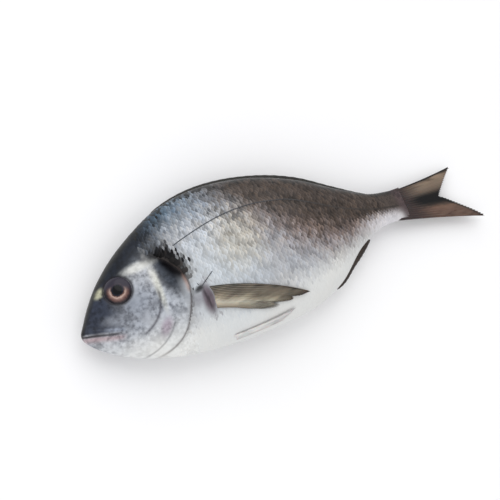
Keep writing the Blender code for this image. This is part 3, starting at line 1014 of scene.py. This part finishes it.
def closed_rim(share, soft):
    """1 over a fin, falling to 0 at both of its edges so that the upper and lower faces meet."""
    return smoothstep(0.0, soft, share) * smoothstep(0.0, soft, 1 - share)


def ray_ridges(t, k, rays):
    """1 on a ray and 0 between rays; from the middle on each ray is split in two."""
    whole = np.abs(np.cos(math.pi * t * (rays - 1))) ** 3
    split = np.abs(np.cos(2 * math.pi * t * (rays - 1))) ** 3
    forked = smoothstep(0.45, 0.65, k)
    return whole * (1 - forked) + split * forked


def fin_material(name, shades, tip_shade, tip_start, ray_shade, ray_strength):
    """shades are colours from the first to the last ray: (share across, screen colour)."""
    material, tree, shader = start_material(name)
    across, along, ray = (reading(tree, item) for item in ("across", "along", "ray"))
    streaks = noise_at(tree, 3.0, 3.0, (0.25, 1.0, 1.0))
    wander = reshape(tree, streaks, 0.3, 0.7, -0.05, 0.05)
    moved = add(tree, "Math", {0: across, 1: wander}, operation="ADD").outputs[0]
    ramp = add(tree, "ValToRGB", {"Fac": moved})
    stops = ramp.color_ramp.elements
    stops[0].position, stops[0].color = shades[0][0], linear(shades[0][1])
    stops[1].position, stops[1].color = shades[-1][0], linear(shades[-1][1])
    for position, shade in shades[1:-1]:
        stops.new(position).color = linear(shade)
    on_ray = add(tree, "Math", {0: ray, 1: ray_strength}, operation="MULTIPLY").outputs[0]
    colour = blend(tree, on_ray, ramp.outputs[0], linear(ray_shade))
    tip = reshape(tree, along, tip_start, 1.0)
    colour = blend(tree, tip, colour, linear(tip_shade))
    dark = blend(tree, 1.0, colour, (0.6, 0.6, 0.62, 1), "MULTIPLY")
    colour = blend(tree, reshape(tree, streaks, 0.35, 0.65), dark, colour)
    tree.links.new(colour, shader.inputs["Base Color"])
    tree.links.new(reshape(tree, streaks, 0.3, 0.7, 0.26, 0.42), shader.inputs["Roughness"])
    shader.inputs["IOR"].default_value = 1.38
    shader.inputs["Specular IOR Level"].default_value = 0.35
    shader.inputs["Coat Weight"].default_value = 0.12
    shader.inputs["Coat Roughness"].default_value = 0.2
    shader.inputs["Subsurface Weight"].default_value = 0.1
    shader.inputs["Subsurface Scale"].default_value = 0.0015
    bump = add(tree, "Bump", {"Height": noise_at(tree, 0.7, 2.0), "Strength": 0.1, "Distance": 0.0002})
    tree.links.new(bump.outputs[0], shader.inputs["Normal"])
    return material


# %% [markdown]
# ## Pectoral and pelvic fins
# These lie pressed against the body, as they do on a landed fish: the pectoral is long and pointed, dark
# along its upper edge and pale below, and the pelvic fins fold along the belly. Their height over the
# skin grows towards the tip, so the tip throws a thin shadow.

# %% Paired fins


def paired_fin(name, flank, root, lengths, angles, rays, lift, splay):
    def form(u, v):
        t, face = over_and_under(v)
        ridge = ray_ridges(t, u, rays)
        length = lengths(t) * (1 - (0.02 + splay * smoothstep(0.45, 0.8, t)) * (1 - ridge))
        start, end = angles(t)
        share = root[0][0] + (root[1][0] - root[0][0]) * t
        height = root[0][1] + (root[1][1] - root[0][1]) * t
        share, height = bent_ray(share, height, length, start, end, u)
        sheet = FIN_SHEET * (1 - 0.5 * u) + RAY_RIDGE * ridge * (1 - 0.6 * u)
        sheet = sheet * closed_rim(t, 0.02)
        sheet = sheet * (1 - smoothstep(0.985, 1.0, u))
        root_rise = -0.0012 * (1 - smoothstep(0.0, 0.06, u))
        side = half_thickness(share, height) + lift(t, u) + root_rise + face * sheet
        return place(share, height, flank * side), {"across": t, "along": u, "ray": ridge}

    return wrapped_grid(name, RAY_ROWS, columns_for(rays), form)


PECTORAL_LONGEST, PECTORAL_SHORTENING = 0.292, 0.145  # shares of the body's length
PECTORAL_TIPS, PECTORAL_NOTCH = 3, 0.040


def pectoral_lengths(t):
    """The upper rays are the longest; the lower ones part into PECTORAL_TIPS tips."""
    parted = np.abs(np.sin(PECTORAL_TIPS * math.pi * t)) ** 0.5
    notch = PECTORAL_NOTCH * (1 - parted) * smoothstep(0.20, 0.45, t)
    first = 0.05 * (1 - smoothstep(0.0, 0.05, t))
    return PECTORAL_LONGEST - PECTORAL_SHORTENING * t**0.95 - first - notch


def pectoral_angles(t):
    return -0.22 - 0.10 * t, -0.54 + 0.08 * t


def pectoral_lift(t, u):
    folds = 0.0004 * np.sin(2 * math.pi * (2.2 * t + 0.6 * u)) * u
    return 0.0007 + 0.0011 * u + folds


PECTORAL_ROOT = ((0.322, 0.007), (0.328, -0.052))
pectoral_finish = fin_material(
    "pectoral_fin_skin",
    ((0.0, "#16120f"), (0.07, "#241e1a"), (0.16, "#4a4239"), (0.42, "#665c4e"), (0.58, "#968c79"),
     (0.74, "#c6bfaf"), (0.86, "#b3aa98"), (1.0, "#6e6051")),
    "#40382f", 0.9, "#c9c0ab", 0.30,
)
for side_name, flank_side in (("left", 1), ("right", -1)):
    fin = paired_fin(
        "pectoral_fin_" + side_name, flank_side, PECTORAL_ROOT, pectoral_lengths, pectoral_angles, 15,
        pectoral_lift, 0.42
    )
    finish_piece(fin, pectoral_finish)


def pelvic_lengths(t):
    return 0.184 - 0.045 * t


def pelvic_angles(t):
    return -0.04, 0.10 - 0.04 * t


def pelvic_lift(t, u):
    return 0.0006 + 0.0010 * u + 0.0003 * np.sin(6.0 * t + 2.0 * u)


PELVIC_ROOT = ((0.350, -0.129), (0.356, -0.142))
pelvic_finish = fin_material(
    "pelvic_fin_skin",
    ((0.0, "#cfc8c5"), (0.2, "#dcdad8"), (0.7, "#d8d7d6"), (1.0, "#bdb8b6")),
    "#c9c5c3", 0.85, "#e6e5e4", 0.3,
)
for side_name, flank_side in (("left", 1), ("right", -1)):
    fin = paired_fin(
        "pelvic_fin_" + side_name, flank_side, PELVIC_ROOT, pelvic_lengths, pelvic_angles, 6,
        pelvic_lift, 0.05
    )
    finish_piece(fin, pelvic_finish)

# %% [markdown]
# ## Dorsal and anal fins
# On a landed fish these fold flat into a groove: what is left is a low dark blade with the spines lying
# back along it, their points just free of the skin. The blade is a grid, and the ridges across it lean
# back as the spines do.

# %% Folded fins
SPINE_LEAN = 0.030  # how far a folded spine's point lies behind its root, as a share of the length


def folded_fin(name, span, crest, spines, is_dorsal, rows):
    start, end = span

    def form(u, v):
        level, face = over_and_under(v)
        share = start + (end - start) * u + SPINE_LEAN * level * 0.6
        top, bottom, _ = section(share)
        edge, outward = (top, 1.0) if is_dorsal else (bottom, -1.0)
        beat = np.abs(np.sin(math.pi * (u * spines - 0.5 * level))) ** 2
        rise = crest / BODY_LENGTH * np.sin(math.pi * np.clip(0.03 + 0.94 * u, 0, 1)) ** 0.55
        rise = rise * (1 - 0.05 * beat * level) * (0.75 + 0.45 * smoothstep(0.4, 0.8, u))
        root = -0.0030 / BODY_LENGTH
        height = edge + outward * (root + (rise - root) * level)
        sheet = (0.00085 - 0.0004 * level + 0.00012 * (1 - beat)) * (1 - smoothstep(0.93, 1.0, level))
        sheet = sheet * closed_rim(u, 0.02)
        side = face * sheet - 0.0016 * level**2
        return place(share, height, side), {"across": level, "along": u, "ray": 1 - beat}

    return wrapped_grid(name, rows, 36, form)


dorsal_finish = fin_material(
    "dorsal_fin_skin",
    ((0.0, "#23221f"), (0.5, "#302d28"), (1.0, "#151412")),
    "#221f1b", 0.97, "#3d3932", 0.25,
)
anal_finish = fin_material(
    "anal_fin_skin",
    ((0.0, "#8d7f77"), (0.35, "#43372f"), (1.0, "#231b18")),
    "#332a26", 0.97, "#4f433b", 0.22,
)
finish_piece(folded_fin("dorsal_fin", (0.270, 0.865), 0.0034, 24, True, 560), dorsal_finish)
finish_piece(folded_fin("anal_fin", (0.665, 0.820), 0.0044, 12, False, 280), anal_finish)

# %% [markdown]
# ## Tail
# The tail is a forked fan. Its outer rays are twice as long as the middle ones, the skin is taupe with
# a black band along the fork, and here the fan has half closed, so its two lobes fold towards each other.

# %% Tail fin
TAIL_ROOT, TAIL_ROOT_HALF = (0.945, 0.040), 0.043
TAIL_ANGLES = (0.05, -0.275)
TAIL_UPPER_RAY, TAIL_LOWER_RAY, TAIL_FORK_RAY = 0.236, 0.280, 0.158
TAIL_POWERS = (1.5, 0.85)  # how fast the upper and the lower lobe's rays lengthen from the fork
TAIL_BEND = 0.06  # radians by which an outer ray bends away from the middle
TAIL_FOLD = 0.0016  # metres
TAIL_RAYS = 17


def tail_form(u, v):
    t01, face = over_and_under(v)
    t = 1 - 2 * t01
    ridge = ray_ridges(t01, u, TAIL_RAYS)
    outer = np.where(t > 0, TAIL_UPPER_RAY, TAIL_LOWER_RAY)
    length = TAIL_FORK_RAY + (outer - TAIL_FORK_RAY) * np.abs(t) ** np.where(t > 0, *TAIL_POWERS)
    length = length * (1 - 0.025 * (1 - ridge)) * (1 - 0.02 * smoothstep(0.96, 1.0, np.abs(t)))
    angle = TAIL_ANGLES[1] + (TAIL_ANGLES[0] - TAIL_ANGLES[1]) * (t + 1) / 2
    root_height = TAIL_ROOT[1] + TAIL_ROOT_HALF * t
    bend = TAIL_BEND * t
    share, height = bent_ray(TAIL_ROOT[0], root_height, length, angle - bend, angle + bend, u)
    sheet = 0.0011 * (1 - smoothstep(0.0, 0.35, u)) + FIN_SHEET + (RAY_RIDGE * 1.3) * ridge * (1 - 0.5 * u)
    sheet = sheet * (1 - smoothstep(0.985, 1.0, u)) * closed_rim(t01, 0.015)
    fold = TAIL_FOLD * np.sin(math.pi * 1.5 * t) * smoothstep(0.15, 1.0, u)
    values = {"across": t01, "along": u, "ray": ridge}
    middle = 1 - smoothstep(0.12, 0.45, np.abs(t + 0.02))
    edge_band = smoothstep(0.90, 0.99, u) * (1 - smoothstep(-0.1, 0.3, t)) * 0.8
    values["fork"] = np.clip(middle * smoothstep(0.25, 0.6, u) + edge_band, 0, 1)
    values["fork"] = np.maximum(values["fork"], smoothstep(0.90, 0.97, t) * smoothstep(0.2, 0.4, u))
    values["root"] = 1 - smoothstep(0.24, 0.72, u + 0.1 * np.abs(t))
    return place(share, height, face * sheet + fold), values


def tail_material():
    material = fin_material(
        "tail_fin_skin",
        ((0.0, "#3b342f"), (0.10, "#8a7866"), (0.30, "#6d5e51"), (0.45, "#332c28"), (0.60, "#3a302b"),
         (0.78, "#6c5044"), (1.0, "#5c463d")),
        "#54423c", 0.97, "#93806e", 0.35,
    )
    tree = material.node_tree
    shader = tree.nodes["Principled BSDF"]
    under = shader.inputs["Base Color"].links[0].from_socket
    base = add(tree, "Math", {0: reading(tree, "root"), 1: 0.95}, operation="MULTIPLY").outputs[0]
    under = blend(tree, base, under, linear("#352b2c"))
    band = blend(tree, reading(tree, "fork"), under, linear("#08080b"))
    tree.links.new(band, shader.inputs["Base Color"])
    return material


tail = wrapped_grid("tail_fin", RAY_ROWS, columns_for(TAIL_RAYS), tail_form)
finish_piece(tail, tail_material())

# %% [markdown]
# ## The floor
# A plain, pale, faintly uneven sheet under the fish. It isn't part of the fish.

# %% Floor
FLOOR_SIZE = 6.0


def floor_material():
    material, tree, shader = start_material("pale_floor")
    grain = noise_at(tree, 400.0, 2.0)
    tone = blend(tree, reshape(tree, grain, 0.3, 0.7), linear("#f4f4f6"), linear("#f8f8f9"))
    tree.links.new(tone, shader.inputs["Base Color"])
    shader.inputs["Roughness"].default_value = 0.6
    return material


bpy.ops.object.select_all(action="DESELECT")
bpy.ops.mesh.primitive_plane_add(size=FLOOR_SIZE, location=(0, 0, -0.0002))
floor = bpy.context.object
floor.name = "floor"
floor.data.materials.append(floor_material())
